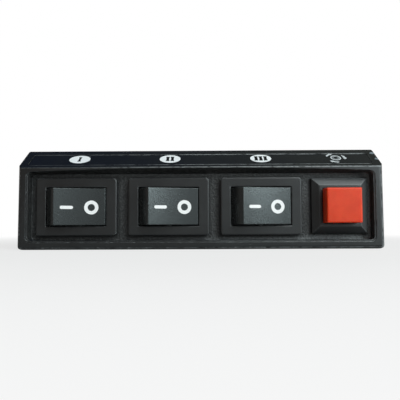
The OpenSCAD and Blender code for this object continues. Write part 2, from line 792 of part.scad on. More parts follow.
housing();
label_strip();
rocker_1_frame();
rocker_1_paddle();
rocker_1_spring();
rocker_1_plunger();
rocker_1_blade();
rocker_1_centre_tab();
rocker_1_end_tab();
rocker_2_frame();
rocker_2_paddle();
rocker_2_spring();
rocker_2_plunger();
rocker_2_blade();
rocker_2_centre_tab();
rocker_2_end_tab();
rocker_3_frame();
rocker_3_paddle();
rocker_3_spring();
rocker_3_plunger();
rocker_3_blade();
rocker_3_centre_tab();
rocker_3_end_tab();
button_body();
button_cap();
button_spring();
button_carrier();
button_bridge();
button_base();
button_left_tab();
button_right_tab();
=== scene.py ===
import json
import math

import bmesh
import bpy
import numpy as np
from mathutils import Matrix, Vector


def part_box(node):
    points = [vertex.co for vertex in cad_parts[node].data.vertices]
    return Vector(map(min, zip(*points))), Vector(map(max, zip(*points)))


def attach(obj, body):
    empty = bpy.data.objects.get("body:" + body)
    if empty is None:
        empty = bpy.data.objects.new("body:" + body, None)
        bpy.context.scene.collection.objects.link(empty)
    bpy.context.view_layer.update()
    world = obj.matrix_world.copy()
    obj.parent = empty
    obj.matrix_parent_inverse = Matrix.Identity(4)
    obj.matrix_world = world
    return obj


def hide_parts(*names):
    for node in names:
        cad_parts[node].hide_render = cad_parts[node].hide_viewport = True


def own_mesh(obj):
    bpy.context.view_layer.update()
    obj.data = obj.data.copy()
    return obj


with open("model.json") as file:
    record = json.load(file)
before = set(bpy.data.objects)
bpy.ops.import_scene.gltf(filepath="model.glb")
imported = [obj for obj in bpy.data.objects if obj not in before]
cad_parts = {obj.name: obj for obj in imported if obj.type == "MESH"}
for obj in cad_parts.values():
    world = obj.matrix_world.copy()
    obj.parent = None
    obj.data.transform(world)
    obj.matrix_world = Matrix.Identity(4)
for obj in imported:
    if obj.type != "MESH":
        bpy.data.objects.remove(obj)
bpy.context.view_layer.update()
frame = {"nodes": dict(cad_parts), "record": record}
nodes = frame["nodes"]
MM = 0.001

# Camera
# The panel was photographed by hand from about 12 cm, nearly square on, from a little below
# the label slope and level with the switches.
camera_data = bpy.data.cameras.new("photo_camera")
camera_data.sensor_width = 36.0
camera_data.lens = 40.93
camera_data.clip_start = 0.01
camera = bpy.data.objects.new("photo_camera", camera_data)
camera.location = (0.9 * MM, -139.22 * MM, -15.2 * MM)
camera.rotation_euler = [math.radians(a) for a in (93.238, 0.268, 0.477)]
bpy.context.scene.collection.objects.link(camera)
bpy.context.scene.camera = camera
bpy.context.scene.view_settings.view_transform = "Standard"


# Housing
# One injection moulding in black ABS. Its mould was spark-eroded in the recess, which leaves a
# sandy grain there, and is smoother outside. Its edges are pale from hands and a painted highlight,
# dust and painted light lie along the recess walls, and grime and painted shade round the switches.
class Wire:
    """A value on its way through a material. Sums, differences and products of wires
    add Math nodes, so that a finish reads as a formula. node() adds any other node."""

    def __init__(self, tree, socket):
        self.tree = tree
        self.socket = socket

    def node(self, kind, settings, values, output=0):
        """Adds a node. Its settings come first, then a number, a colour or a wire for each socket
        that is named or counted in values. The wire from one output comes back."""
        made = self.tree.nodes.new(kind)
        for name, value in settings.items():
            setattr(made, name, value)
        for name, value in values.items():
            fill(made.inputs[name], value)
        return Wire(self.tree, made.outputs[output])

    def maths(self, operation, *others):
        """A Math node with this wire first."""
        values = dict(enumerate([self, *others]))
        return self.node("ShaderNodeMath", {"operation": operation}, values)

    def __add__(self, other):
        return self.maths("ADD", other)

    def __mul__(self, other):
        return self.maths("MULTIPLY", other)

    def __sub__(self, other):
        return self + other * -1

    def __rsub__(self, other):
        return self * -1 + other

    def __abs__(self):
        return self.maths("ABSOLUTE")

    __radd__ = __add__
    __rmul__ = __mul__

    def rise(self, low, high):
        """0 up to low, 1 from high on, and a smooth step between them."""
        limits = {"Value": self, "From Min": low, "From Max": high}
        return self.node("ShaderNodeMapRange", {"interpolation_type": "SMOOTHSTEP"}, limits)

    def split(self):
        """The x, y and z of a vector, as three wires."""
        return [self.node("ShaderNodeSeparateXYZ", {}, {0: self}, axis) for axis in range(3)]

    def stretch(self, x, y, z):
        """A vector multiplied axis by axis, which draws a pattern out along the small ones."""
        return self.node("ShaderNodeVectorMath", {"operation": "MULTIPLY"}, {0: self, 1: (x, y, z)})

    def noise(self, size, detail=2.0):
        """Cloudy noise from 0 to 1 at a point, with lumps of about the size given in metres."""
        values = {"Vector": self, "Scale": 1 / size, "Detail": detail}
        return self.node("ShaderNodeTexNoise", {}, values)

    def mix(self, first, second):
        """The first colour where this wire is 0, and the second where it is 1."""
        return self.node("ShaderNodeMix", {"data_type": "RGBA"}, {0: self, 6: first, 7: second}, 2)

    def bump(self, depth, normal):
        """The normal tilted by this wire as a height, where 1 stands for the depth in metres."""
        values = {"Height": self, "Distance": depth, "Strength": 1.0, "Normal": normal}
        return self.node("ShaderNodeBump", {}, values)


def fill(socket, value):
    """Gives one socket a wire, a colour or a number."""
    if isinstance(value, Wire):
        value.tree.links.new(value.socket, socket)
    elif socket.type == "RGBA":
        socket.default_value = (*value, 1)
    else:
        socket.default_value = value


def new_finish(name):
    """A material with its shader alone: the material, the shader and the Object coordinates."""
    finish = bpy.data.materials.new(name)
    finish.use_nodes = True
    tree = finish.node_tree
    shader = tree.nodes["Principled BSDF"]
    place = tree.nodes.new("ShaderNodeTexCoord").outputs["Object"]
    return finish, shader, Wire(tree, place)


def feed(shader, values):
    """Fills the named sockets of a shader."""
    for name, value in values.items():
        fill(shader.inputs[name], value)


def flat_normal(place):
    """The normal of the surface as it is."""
    return place.node("ShaderNodeNewGeometry", {}, {}, "Normal")


def facing(place):
    """How far the surface faces to the right, away from the front, and up, each from -1 to 1."""
    return place.node("ShaderNodeTexCoord", {}, {}, "Normal").split()


def soft_edges(place, radius):
    """The normal of the surface with its sharp edges rounded to a radius, and how far it leans
    away from the true one: 0 on a flat and about 0.3 on a square edge."""
    soft = place.node("ShaderNodeBevel", {"samples": 6}, {"Radius": radius})
    dot = {"operation": "DOT_PRODUCT"}
    agree = place.node("ShaderNodeVectorMath", dot, {0: soft, 1: flat_normal(place)}, "Value")
    return soft, 1 - agree


def coat(names, finish):
    """Gives CAD nodes their finish."""
    for name in names:
        nodes[name].material_slots[0].material = finish


housing_low, housing_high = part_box("housing")
slope_rise = 5.45 * MM
slope_run = 7.75 * MM
slope_edge_z = housing_high.z - slope_rise
recess_half_w = 44.2 * MM
recess_low_z = -19.5 * MM
chips = [
    ((46.15 * MM, -17.5 * MM, 4.1 * MM), 0.70 * MM),
    ((46.4 * MM, -20.2 * MM, 2.2 * MM), 0.58 * MM),
]

skin_black = (0.0070, 0.0073, 0.0075)
patchy_black = (0.0105, 0.0110, 0.0112)
slope_black_with_reflection = (0.0062, 0.0074, 0.0105)
# Near-black for the grime and painted shade round the switches.
grime_and_shade = (0.002, 0.002, 0.002)
sand_dust = (0.042, 0.042, 0.041)
wall_dust_and_light = (0.14, 0.146, 0.146)
top_dust = (0.021, 0.022, 0.022)
rubbed_highlight_grey = (0.135, 0.143, 0.146)
bared_grey = (0.22, 0.23, 0.23)
ridge_highlight_grey = (0.20, 0.21, 0.212)
speck_white = (0.4, 0.4, 0.38)
broken_grey = (0.19, 0.225, 0.25)


def near(place, spot, radius, ragged):
    """1 within about a radius of a spot and 0 outside it: the distance to the spot, with a noise
    added that makes the edge ragged, against the radius."""
    measure = {"operation": "DISTANCE"}
    away = place.node("ShaderNodeVectorMath", measure, {0: place, 1: spot}, "Value")
    return 1 - (away + ragged * radius).rise(1.25 * radius, 1.55 * radius)


def inside_recess(x, z, depth):
    """1 in the recess and 0 on the outer faces: behind the fine step round its mouth, short of the
    outer side walls, and above the underside."""
    behind_step = depth.rise(0.34 * MM, 0.5 * MM)
    between_sides = 1 - abs(x).rise(45 * MM, 45.4 * MM)
    above_underside = (z - housing_low.z).rise(0.8 * MM, 1.1 * MM)
    return behind_step * between_sides * above_underside


def grime_and_shade_seam(x, z):
    """1 in the narrow seam round the foot of each switch, where grime and a painted shade lie, and
    0
    from 0.75 mm off: the distance to a rectangle is the larger of its two reaches, less half its
    sides."""
    nearest = 1.0
    for node in ("rocker_1_frame", "rocker_2_frame", "rocker_3_frame", "button_body"):
        low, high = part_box(node)
        beside = abs(x - (low.x + high.x) / 2) - (high.x - low.x) / 2
        above = abs(z - (low.z + high.z) / 2) - (high.z - low.z) / 2
        nearest = beside.maths("MAXIMUM", above).maths("MINIMUM", nearest)
    return 1 - nearest.rise(0.15 * MM, 0.75 * MM)


def dust_and_light_by_walls(x, z, depth, sand):
    """Dust and a painted light between the grains of the recess floor, along its walls and more
    toward the right, where the walls shade the floor: 1 at a wall and 0 from 2.4 mm off."""
    to_wall = (recess_half_w - abs(x)).maths("MINIMUM", z - recess_low_z)
    beside_wall = 1 - to_wall.rise(0.3 * MM, 2.4 * MM)
    on_floor = depth.rise(2.9 * MM, 3.3 * MM)
    return beside_wall * x.rise(-20 * MM, 40 * MM) * on_floor * (0.4 + sand.rise(0.3, 0.6) * 0.5)


def rubbed_and_highlit_edges(place, edge, sides, turned, depth):
    """Where hands rub and where painted highlights lie: the sharp edges, and the rounded front
    edges, whose faces turn half to the side or half down. A noise breaks it up."""
    half_turned = abs(turned + 0.5).maths("MINIMUM", abs(abs(sides) - 0.5))
    round_edge = (1 - half_turned.rise(0.05, 0.2)) * (1 - depth.rise(1.0 * MM, 1.4 * MM))
    wear_and_highlight = edge.rise(0.02, 0.12) + round_edge * 0.8
    return wear_and_highlight * place.noise(1.6 * MM, 4.0).rise(0.3, 0.65)


def light_and_wear_by_x(x):
    """How pale the rubbed edges are, which is wear and also painted light that falls off to the
    left:
    least on the left rim, more toward the right, and most on the right rim."""
    past_left_rim = x.rise(-44.6 * MM, -44.3 * MM)
    rightward = x.rise(-35 * MM, 42 * MM)
    on_right_rim = x.rise(43.8 * MM, 44.4 * MM)
    return 0.08 + past_left_rim * 0.22 + rightward * 0.7 + on_right_rim * 0.6


def slope_wear_and_highlight(x):
    """How pale the edge lines of the slope are, which are wear and a painted highlight that fade to
    the left: a fifth at the left end, and all of it from just right of the middle on."""
    return 0.2 + x.rise(-38 * MM, 8 * MM) * 0.8


def ridge_wear_and_highlight(place, x, z, depth):
    """The thin line on the slope's front edge, wear and painted highlight: 1 on it, 0 from 0.32 mm
    off.
    """
    away = abs(z - slope_edge_z).maths("MAXIMUM", abs(depth))
    line = (1 - away.rise(0.12 * MM, 0.32 * MM)) * place.noise(0.9 * MM, 4.0).rise(0.3, 0.55)
    return line * slope_wear_and_highlight(x)


def moulded_black():
    """Near-black, and built up in layers. The label slope is polished, with a painted blue
    reflection.
    Inside the recess the skin is sandy and holds dust, with dust and painted light along the walls
    and toward the right, and grime and painted shade round the switches. The top is duller under
    settled dust. Then come the edges, pale from wear and painted highlight, more to the right; the
    spots that are rubbed bare, the ridge line of wear and painted highlight, pale specks, and the
    chips broken out of the upper right corner."""
    finish, shader, place = new_finish("housing_plastic")
    soft, edge = soft_edges(place, 0.22 * MM)
    x, y, z = place.split()
    sides, _, turned = facing(place)
    depth = y - housing_low.y
    polished = turned.rise(0.55, 0.75)
    on_top = turned.rise(0.9, 0.98)
    inside = inside_recess(x, z, depth) * (1 - polished)
    patches = place.noise(9 * MM, 3.0)
    sand = place.noise(0.5 * MM, 2.0)
    skin_grain = place.noise(0.2 * MM, 2.0)
    settled = on_top * place.noise(7 * MM, 6.0).rise(0.3, 0.75)
    wear_and_highlight = rubbed_and_highlit_edges(place, edge, sides, turned, depth)
    bared = wear_and_highlight * place.noise(0.7 * MM, 3.0).rise(0.56, 0.66)
    specks = place.noise(0.4 * MM, 1.0).rise(0.74, 0.8) * (1 - polished)
    chipped = sum(near(place, spot, radius, sand) for spot, radius in chips)
    colour = patches.rise(0.35, 0.7).mix(skin_black, patchy_black)
    # The polished slope: near-black with a painted blue reflection.
    colour = polished.mix(colour, slope_black_with_reflection)
    colour = (inside * sand.rise(0.40, 0.64) * 0.8).mix(colour, sand_dust)
    # Dust and painted light: the floor along the recess walls is lightened, more toward the right.
    colour = (dust_and_light_by_walls(x, z, depth, sand) * inside).mix(colour, wall_dust_and_light)
    colour = settled.mix(colour, top_dust)
    # Grime and painted shade: the floor is darkened in a seam round the foot of each switch.
    colour = (grime_and_shade_seam(x, z) * inside * 0.85).mix(colour, grime_and_shade)
    # Wear and painted highlight: the edges are paled, more toward the right, where the light is
    # painted stronger.
    colour = (wear_and_highlight * light_and_wear_by_x(x)).mix(colour, rubbed_highlight_grey)
    colour = (bared * 0.8).mix(colour, bared_grey)
    # Wear and painted highlight along the front edge of the slope.
    colour = (ridge_wear_and_highlight(place, x, z, depth) * 0.8).mix(colour, ridge_highlight_grey)
    colour = (specks * 0.15).mix(colour, speck_white)
    rough = 0.27 + inside * 0.20 + patches * 0.10 + wear_and_highlight * 0.12
    feed(shader, {
        "Base Color": chipped.maths("MINIMUM", 1.0).mix(colour, broken_grey),
        "Roughness": rough - polished * 0.10 + on_top * 0.22 + settled * 0.2,
        "Specular IOR Level": 0.5,
        "Normal": (skin_grain * 0.2 + inside * sand * 3.0).bump(0.05 * MM, soft),
    })
    return finish


coat(["housing"], moulded_black())


# Label strip
# A glossy printed film in the shallow pocket of the slope: three white ovals with numerals over
# the rockers, and a ring of turning arrows over the push button. Pale lines of wear and painted
# highlight mark its edges.
touching = 0.0001 * MM


def skin(name, points, finish, body, loop=False):
    """A closed mesh from a grid of points: each row is one closed profile, and the rows follow one
    another along the piece, back to the first one if it is a loop. Ends that shrink to a point
    are merged there."""
    rows, around = points.shape[:2]
    row = np.arange(rows if loop else rows - 1)[:, None]
    at = np.arange(around)[None, :]
    beside = (at + 1) % around
    after = (row + 1) % rows
    here = row * around
    there = after * around
    quads = np.stack([here + at, here + beside, there + beside, there + at], -1)
    mesh = bpy.data.meshes.new(name)
    mesh.from_pydata(points.reshape(-1, 3), [], quads.reshape(-1, 4))
    shape = bmesh.new()
    shape.from_mesh(mesh)
    bmesh.ops.remove_doubles(shape, verts=shape.verts, dist=touching)
    bmesh.ops.recalc_face_normals(shape, faces=shape.faces)
    shape.to_mesh(mesh)
    shape.free()
    mesh.materials.append(finish)
    piece = bpy.data.objects.new(name, mesh)
    bpy.context.scene.collection.objects.link(piece)
    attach(piece, body)
    return piece


def pointed(tube):
    """The rows of a tube with one more at each end, shrunk to the middle of the end row."""
    ends = tube[[0, -1]].mean(axis=1, keepdims=True).repeat(tube.shape[1], axis=1)
    return np.concatenate([ends[:1], tube, ends[1:]])


ink_t = 0.035 * MM
ink_side = np.array([-1.0, 1.0, 1.0, -1.0])
ink_top = ink_t * np.array([0.0, 0.0, 1.0, 1.0])
ring_points = 64


def stroke(name, middle, half, place, ink, body, lift=0.0):
    """A printed stroke: at each point of its middle line on the surface the profile is a flat
    rectangle, as wide as twice the half width there, and it closes to a point at both ends."""
    along = np.gradient(middle, axis=0)
    along /= np.linalg.norm(along, axis=1)[:, None]
    reach = half[:, None] * ink_side
    across = middle[:, 0, None] - along[:, 1, None] * reach
    up = middle[:, 1, None] + along[:, 0, None] * reach
    above = np.broadcast_to(lift + ink_top, across.shape)
    flat = pointed(np.stack([across, up, above], -1))
    return skin(name, place(*np.moveaxis(flat, -1, 0)), ink, body)


def ring(name, centre, middle_r, half, place, ink, body):
    """A printed ring: a flat rectangle carried round a circle on the surface."""
    angle = np.linspace(0, 2 * np.pi, ring_points, endpoint=False)[:, None]
    radius = middle_r + half * ink_side
    across = centre[0] + radius * np.cos(angle)
    up = centre[1] + radius * np.sin(angle)
    points = place(across, up, np.broadcast_to(ink_top, across.shape))
    return skin(name, points, ink, body, loop=True)


slope = math.atan2(slope_rise, slope_run)
film_t = 0.25 * MM
film_low, film_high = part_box("label_strip")
film_h = (film_high.z - film_low.z - film_t * math.cos(slope)) / math.sin(slope)
film_end = film_high.x

film_black_with_reflection = (0.0052, 0.0064, 0.0104)
smudge_black = (0.0070, 0.0084, 0.0112)
scratch_grey = (0.22, 0.22, 0.23)
film_wear_highlight = (0.40, 0.42, 0.425)


def on_film(across, up, height):
    """Puts a flat drawing on the film: across is x, up runs up the slope from the film's lower
    edge, and height stands off its face."""
    y = film_low.y + up * math.cos(slope) - height * math.sin(slope)
    z = film_high.z - (film_h - up) * math.sin(slope) + height * math.cos(slope)
    return np.stack([across, y, z], -1)


def glossy_film():
    """A black film with a painted blue reflection in its colour, smudged, finely scratched, and
    pale in a broken line along its two long edges, which is wear and painted highlight, where its
    distance up from the one or down from the other comes near 0."""
    finish, shader, place = new_finish("label_film")
    x, y, _ = place.split()
    up = (y - film_low.y) * (1 / math.cos(slope))
    border = up.maths("MINIMUM", film_h - up)
    chafed = place.stretch(0.5, 1.0, 1.0).noise(0.9 * MM, 4.0)
    # Wear and painted highlight: a pale broken line along both long edges.
    line = (1 - border.rise(0.10 * MM, 0.32 * MM)) * chafed.rise(0.3, 0.58)
    line = line * (film_end - abs(x)).rise(0.4 * MM, 1.4 * MM) * slope_wear_and_highlight(x)
    smudges = place.noise(5 * MM, 3.0)
    drawn = place.stretch(1.0, 9.0, 9.0).noise(2.2 * MM, 3.0)
    scratch = drawn.rise(0.66, 0.72) * smudges.rise(0.5, 0.7)
    # Near-black with a painted blue reflection.
    colour = smudges.rise(0.3, 0.75).mix(film_black_with_reflection, smudge_black)
    colour = (scratch * 0.16).mix(colour, scratch_grey)
    feed(shader, {
        "Base Color": (line * 0.85).mix(colour, film_wear_highlight),
        "Roughness": 0.17 + smudges * 0.12 + line * 0.2,
        "Specular IOR Level": 0.45,
        "Normal": (smudges + scratch * 0.1).bump(0.02 * MM, flat_normal(place)),
    })
    return finish


def printing_ink(name, colour, thin_colour, thin_from, gloss=0.5):
    """A screen-printed ink: even, with pinholes and thin places where a fine noise is high."""
    finish, shader, place = new_finish(name)
    pores = place.noise(0.22 * MM, 3.0)
    cloud = place.noise(1.4 * MM, 2.0)
    thin = pores.rise(thin_from, thin_from + 0.12) * cloud.rise(0.35, 0.6)
    feed(shader, {
        "Base Color": thin.mix(colour, thin_colour),
        "Roughness": 0.42 + cloud * 0.16,
        "Specular IOR Level": gloss,
        "Normal": pores.bump(0.004 * MM, flat_normal(place)),
    })
    return finish


coat(["label_strip"], glossy_film())
white_ink = printing_ink(
    "oval_ink", colour=(0.84, 0.85, 0.86), thin_colour=(0.55, 0.56, 0.58), thin_from=0.66)
black_ink = printing_ink(
    "numeral_ink", colour=(0.005, 0.005, 0.006), thin_colour=(0.02, 0.02, 0.02), thin_from=0.66,
    gloss=0.15)
worn_ink = printing_ink(
    "symbol_ink", colour=(0.56, 0.58, 0.59), thin_colour=(0.12, 0.12, 0.13), thin_from=0.56)
faint_ink = printing_ink(
    "faint_ink", colour=(0.22, 0.23, 0.24), thin_colour=(0.05, 0.05, 0.055), thin_from=0.52)

oval_places = {"one": -31.87 * MM, "two": -7.92 * MM, "three": 16.04 * MM}
oval_half_w = 2.76 * MM
oval_half_h = 2.16 * MM
oval_up = 3.36 * MM
oval_points = 49
oval_turn = np.linspace(-np.pi / 2, np.pi / 2, oval_points)

numeral_h = 2.35 * MM
numeral_lift = 0.03 * MM
stem_pitch = 1.22 * MM
stem_half = {"one": 0.27 * MM, "two": 0.35 * MM, "three": 0.37 * MM}
serif_more = 0.12 * MM
serif_in = 0.14
serif_out = 0.20
stem_share = np.array([-0.01, 0, serif_in, serif_out, 1 - serif_out, 1 - serif_in, 1, 1.01])
serifed = np.array([1, 1, 1, 0, 0, 1, 1, 1])

for count, (label, oval_x) in enumerate(oval_places.items(), start=1):
    across = oval_x + oval_half_w * np.sin(oval_turn)
    middle = np.stack([across, np.full_like(across, oval_up)], 1)
    oval_half = oval_half_h * np.cos(oval_turn)
    stroke(f"oval_{label}", middle, oval_half, on_film, white_ink, "panel")
    for n in range(count):
        stem_x = oval_x + (n - (count - 1) / 2) * stem_pitch
        stem_up = oval_up + numeral_h * (stem_share - 0.5)
        middle = np.stack([np.full_like(stem_up, stem_x), stem_up], 1)
        half = stem_half[label] + serif_more * serifed
        stem = f"numeral_{label}_{n + 1}"
        stroke(stem, middle, half, on_film, black_ink, "panel", lift=numeral_lift)

symbol = (35.85 * MM, 3.45 * MM)
ring_r = 1.22 * MM
hub_r = 0.74 * MM
ring_half = 0.17 * MM
arrow_r = 2.38 * MM
arrow_half = 0.27 * MM
head_half = 0.55 * MM
arrow_starts = (160, 40, 280)
arrow_sweep = 60
arrow_share = np.array([0.0, 0.12, 0.25, 0.4, 0.55, 0.66, 0.67, 0.8, 0.92, 1.0])
shaft = arrow_half * np.array([0.35, 0.8, 1, 1, 1, 1])
head = head_half * np.array([1.0, 0.62, 0.26, 0.04])

ring("arrow_ring", symbol, ring_r, ring_half, on_film, worn_ink, "panel")
ring("arrow_hub", symbol, hub_r, ring_half, on_film, faint_ink, "panel")
for n, start in enumerate(arrow_starts, start=1):
    angle = np.radians(start - arrow_sweep * arrow_share)
    middle = np.stack([symbol[0] + arrow_r * np.cos(angle), symbol[1] + arrow_r * np.sin(angle)], 1)
    half = np.concatenate([shaft, head])
    stroke(f"arrow_{n}", middle, half, on_film, worn_ink, "panel")


# Rocker frames
# Each snap-in frame is one moulding in black nylon, bezel and body together, with a fine satin
# texture on its face. The body and base of the push button are a blacker, duller nylon, with dust
# and painted light on the slopes of the bezel that face up and to the right.
nylon_dust_and_light = (0.14, 0.149, 0.152)
nylon_wear_highlight = (0.26, 0.27, 0.273)


def switch_nylon(name, dark, light, rough, slope_dust_light):
    """Black with a fine texture and a slow drift in its gloss. Its edges are grey in a broken line,
    wear with a painted highlight that is strongest where they turn up or to the right, toward the
    light, and dust with painted light lies on the slopes that face that way."""
    finish, shader, place = new_finish(name)
    soft, edge = soft_edges(place, 0.5 * MM)
    texture = place.noise(0.3 * MM, 3.0)
    drift = place.noise(6 * MM, 2.0)
    sides, out, turned = facing(place)
    up_or_right = sides.maths("MAXIMUM", turned)
    handled_and_lit = 0.2 + up_or_right.rise(0.1, 0.6) * 0.8
    # Wear and painted highlight: the edges turned up or to the right are paled most.
    touched = edge.rise(0.015, 0.10) * place.noise(0.9 * MM, 3.0).rise(0.28, 0.5) * handled_and_lit
    # Dust and painted light: slopes facing up or to the right are lightened.
    dust_and_light_on_slopes = up_or_right.rise(0.2, 0.5) * (1 + out).rise(0.0, 0.3) * slope_dust_light
    colour = dust_and_light_on_slopes.mix(drift.rise(0.3, 0.7).mix(dark, light), nylon_dust_and_light)
    feed(shader, {
        "Base Color": (touched * 0.9).mix(colour, nylon_wear_highlight),
        "Roughness": rough + drift * 0.10 + texture * 0.05,
        "Specular IOR Level": 0.55,
        "Normal": texture.bump(0.02 * MM, soft),
    })
    return finish


frame_nylon = switch_nylon(
    "frame_nylon", dark=(0.0080, 0.0084, 0.0086), light=(0.0115, 0.0120, 0.0123),
    rough=0.23, slope_dust_light=0.0)
button_nylon = switch_nylon(
    "button_nylon", dark=(0.0070, 0.0074, 0.0076), light=(0.0095, 0.0100, 0.0103),
    rough=0.30, slope_dust_light=0.8)
coat([f"rocker_{n}_frame" for n in (1, 2, 3)], frame_nylon)
coat(["button_body", "button_base"], button_nylon)


# Rocker paddles
# Hollow black mouldings with a shallow dished top. The bar and the ring are pad-printed in white,
# and follow the dish. Fingers have polished the tops a little, in patches.
paddle_black = (0.0080, 0.0090, 0.0094)
polished_black = (0.0105, 0.0118, 0.0122)
paddle_rubbed = (0.20, 0.21, 0.21)
cool_gloss = (0.93, 1.0, 1.0)


def paddle_plastic():
    """Near-black satin with a very fine texture and a cool gloss, smoother in the patches that
    fingers polish, and rubbed grey here and there on its edges."""
    finish, shader, place = new_finish("paddle_plastic")
    soft, edge = soft_edges(place, 0.28 * MM)
    texture = place.noise(0.28 * MM, 3.0)
    polish = place.noise(4 * MM, 2.0).rise(0.35, 0.7)
    touched = edge.rise(0.03, 0.2) * place.noise(0.7 * MM, 3.0).rise(0.4, 0.6)
    colour = polish.mix(paddle_black, polished_black)
    feed(shader, {
        "Base Color": (touched * 0.45).mix(colour, paddle_rubbed),
        "Roughness": 0.20 - polish * 0.03 + texture * 0.14,
        "Specular IOR Level": 0.64,
        "Specular Tint": cool_gloss,
        "Normal": texture.bump(0.022 * MM, soft),
    })
    return finish


paddle_top = 5.363 * MM
paddle_dish = 0.4 * MM
dish_r = 51.4 * MM
paddle_tilt = math.radians(14.3)
pivots = {j["name"]: j["pos_m"] for j in frame["record"]["behaviour"]["joints"] if "pos_m" in j}


def leaned(pivot, x, y, z):
    """Points given about a pivot, turned by the tilt of the paddle as it stands switched off."""
    turned_x = x * math.cos(paddle_tilt) - y * math.sin(paddle_tilt)
    turned_y = x * math.sin(paddle_tilt) + y * math.cos(paddle_tilt)
    return np.stack([pivot[0] + turned_x, pivot[1] + turned_y, pivot[2] + z], -1)


def on_paddle(pivot):
    """The way to put a flat drawing on the dished top of the paddle that turns about a pivot: the
    top is an arc about a line in front of it."""
    def place(across, up, height):
        depth = np.sqrt(dish_r ** 2 - across ** 2)
        x = across * (1 - height / dish_r)
        y = paddle_dish - paddle_top - dish_r + depth * (1 - height / dish_r)
        return leaned(pivot, x, y, up)
    return place


coat([f"rocker_{n}_paddle" for n in (1, 2, 3)], paddle_plastic())
mark_ink = printing_ink(
    "mark_ink", colour=(0.82, 0.80, 0.79), thin_colour=(0.6, 0.6, 0.6), thin_from=0.70)

mark_up = -0.2 * MM
bar_at = -3.2 * MM
bar_half_l = 1.62 * MM
bar_half_w = 0.41 * MM
bar_points = 33
bar_turn = np.linspace(-np.pi / 2, np.pi / 2, bar_points)
bar_reach = bar_half_l - bar_half_w
bar_end = bar_half_w * np.sin(bar_turn)
bar_x = bar_at + np.where(bar_turn < 0, bar_end - bar_reach, bar_end + bar_reach)
bar_middle = np.stack([bar_x, np.full_like(bar_x, mark_up)], 1)
bar_half = bar_half_w * np.cos(bar_turn)
mark_ring = (2.95 * MM, mark_up)
mark_ring_r = 1.34 * MM
mark_ring_half = 0.44 * MM

for n in (1, 2, 3):
    top = on_paddle(pivots[f"rocker_{n}_tilt"])
    paddle = f"paddle_{n}"
    stroke(f"bar_{n}", bar_middle, bar_half, top, mark_ink, paddle)
    ring(f"ring_{n}", mark_ring, mark_ring_r, mark_ring_half, top, mark_ink, paddle)


# Springs
# Drawn steel wire, wound with a closed turn at each end. One spring sits behind each plunger in
# the post of its paddle, and the return spring stands round the stem of the push button.
bright_steel = (0.58, 0.58, 0.59)
brown_bloom = (0.42, 0.37, 0.32)


def drawn_steel():
    """Bright steel with fine draw lines and a faint brown bloom."""
    finish, shader, place = new_finish("spring_steel")
    lines = place.stretch(1.0, 14.0, 1.0).noise(0.5 * MM, 3.0)
    bloom = place.noise(1.5 * MM, 3.0)
    feed(shader, {
        "Base Color": bloom.rise(0.5, 0.8).mix(bright_steel, brown_bloom),
        "Metallic": 1.0,
        "Roughness": 0.26 + lines * 0.16,
        "Normal": lines.bump(0.004 * MM, flat_normal(place)),
    })
    return finish


coil_turns = 6
steps_a_turn = 36
wire_sides = 12


def coil(name, mean_r, wire_r, length, place, finish, body):
    """A helix along +y from y = 0 with a round wire. The rise is slow over the first and the last
    turn, which lie closed, and even between them; the wire's section is a circle carried along."""
    turned = np.linspace(0, 1, steps_a_turn * coil_turns + 1) * coil_turns
    last = np.clip(turned - coil_turns + 1, 0, 1)
    eased = np.minimum(turned, 1) ** 2 / 2
    eased += np.clip(turned - 1, 0, coil_turns - 2)
    eased += last - last ** 2 / 2
    rise = wire_r + (length - 2 * wire_r) * eased / eased[-1]
    angle = 2 * np.pi * turned[:, None]
    section = np.linspace(0, 2 * np.pi, wire_sides, endpoint=False)[None, :]
    radius = mean_r + wire_r * np.cos(section)
    y = rise[:, None] + wire_r * np.sin(section)
    tube = pointed(np.stack([radius * np.cos(angle), y, radius * np.sin(angle)], -1))
    piece = skin(name, place(*np.moveaxis(tube, -1, 0)), finish, body)
    piece.data.shade_smooth()
    return piece


steel = drawn_steel()
post_spring_r = 0.89 * MM
post_wire_r = 0.15 * MM
post_spring_l = 5.0 * MM
post_spring_end = 2.4 * MM


def in_post(pivot):
    """The way into a paddle's post: y runs down the post, which leans with the paddle."""
    def place(x, y, z):
        return leaned(pivot, x, y + post_spring_end - post_spring_l, z)
    return place


for n in (1, 2, 3):
    place = in_post(pivots[f"rocker_{n}_tilt"])
    name = f"plunger_coil_{n}"
    wound = coil(name, post_spring_r, post_wire_r, post_spring_l, place, steel, f"paddle_{n}")
    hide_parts(f"rocker_{n}_spring")

return_low, return_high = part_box("button_spring")
return_mid = (return_low + return_high) / 2
return_l = return_high.y - return_low.y
return_r = 2.85 * MM
return_wire_r = 0.2 * MM


def round_stem(x, y, z):
    """Points given about the stem, with y counted from the spring's outer end."""
    return np.stack([return_mid.x + x, return_low.y + y, return_mid.z + z], -1)


return_coil = coil("return_coil", return_r, return_wire_r, return_l, round_stem, steel, "button")
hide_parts("button_spring")
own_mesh(return_coil)


# Plungers and contact carrier
# Turned and moulded in natural nylon, slightly yellow, with the waxy look of a running part.
# A plunger slides in the post of each paddle, and the carrier sits on the end of the cap's stem.
nylon_cream = (0.66, 0.61, 0.48)
nylon_pale = (0.74, 0.70, 0.58)
nylon_smear = (0.38, 0.36, 0.32)
nylon_depth = (1.0 * MM, 0.8 * MM, 0.6 * MM)


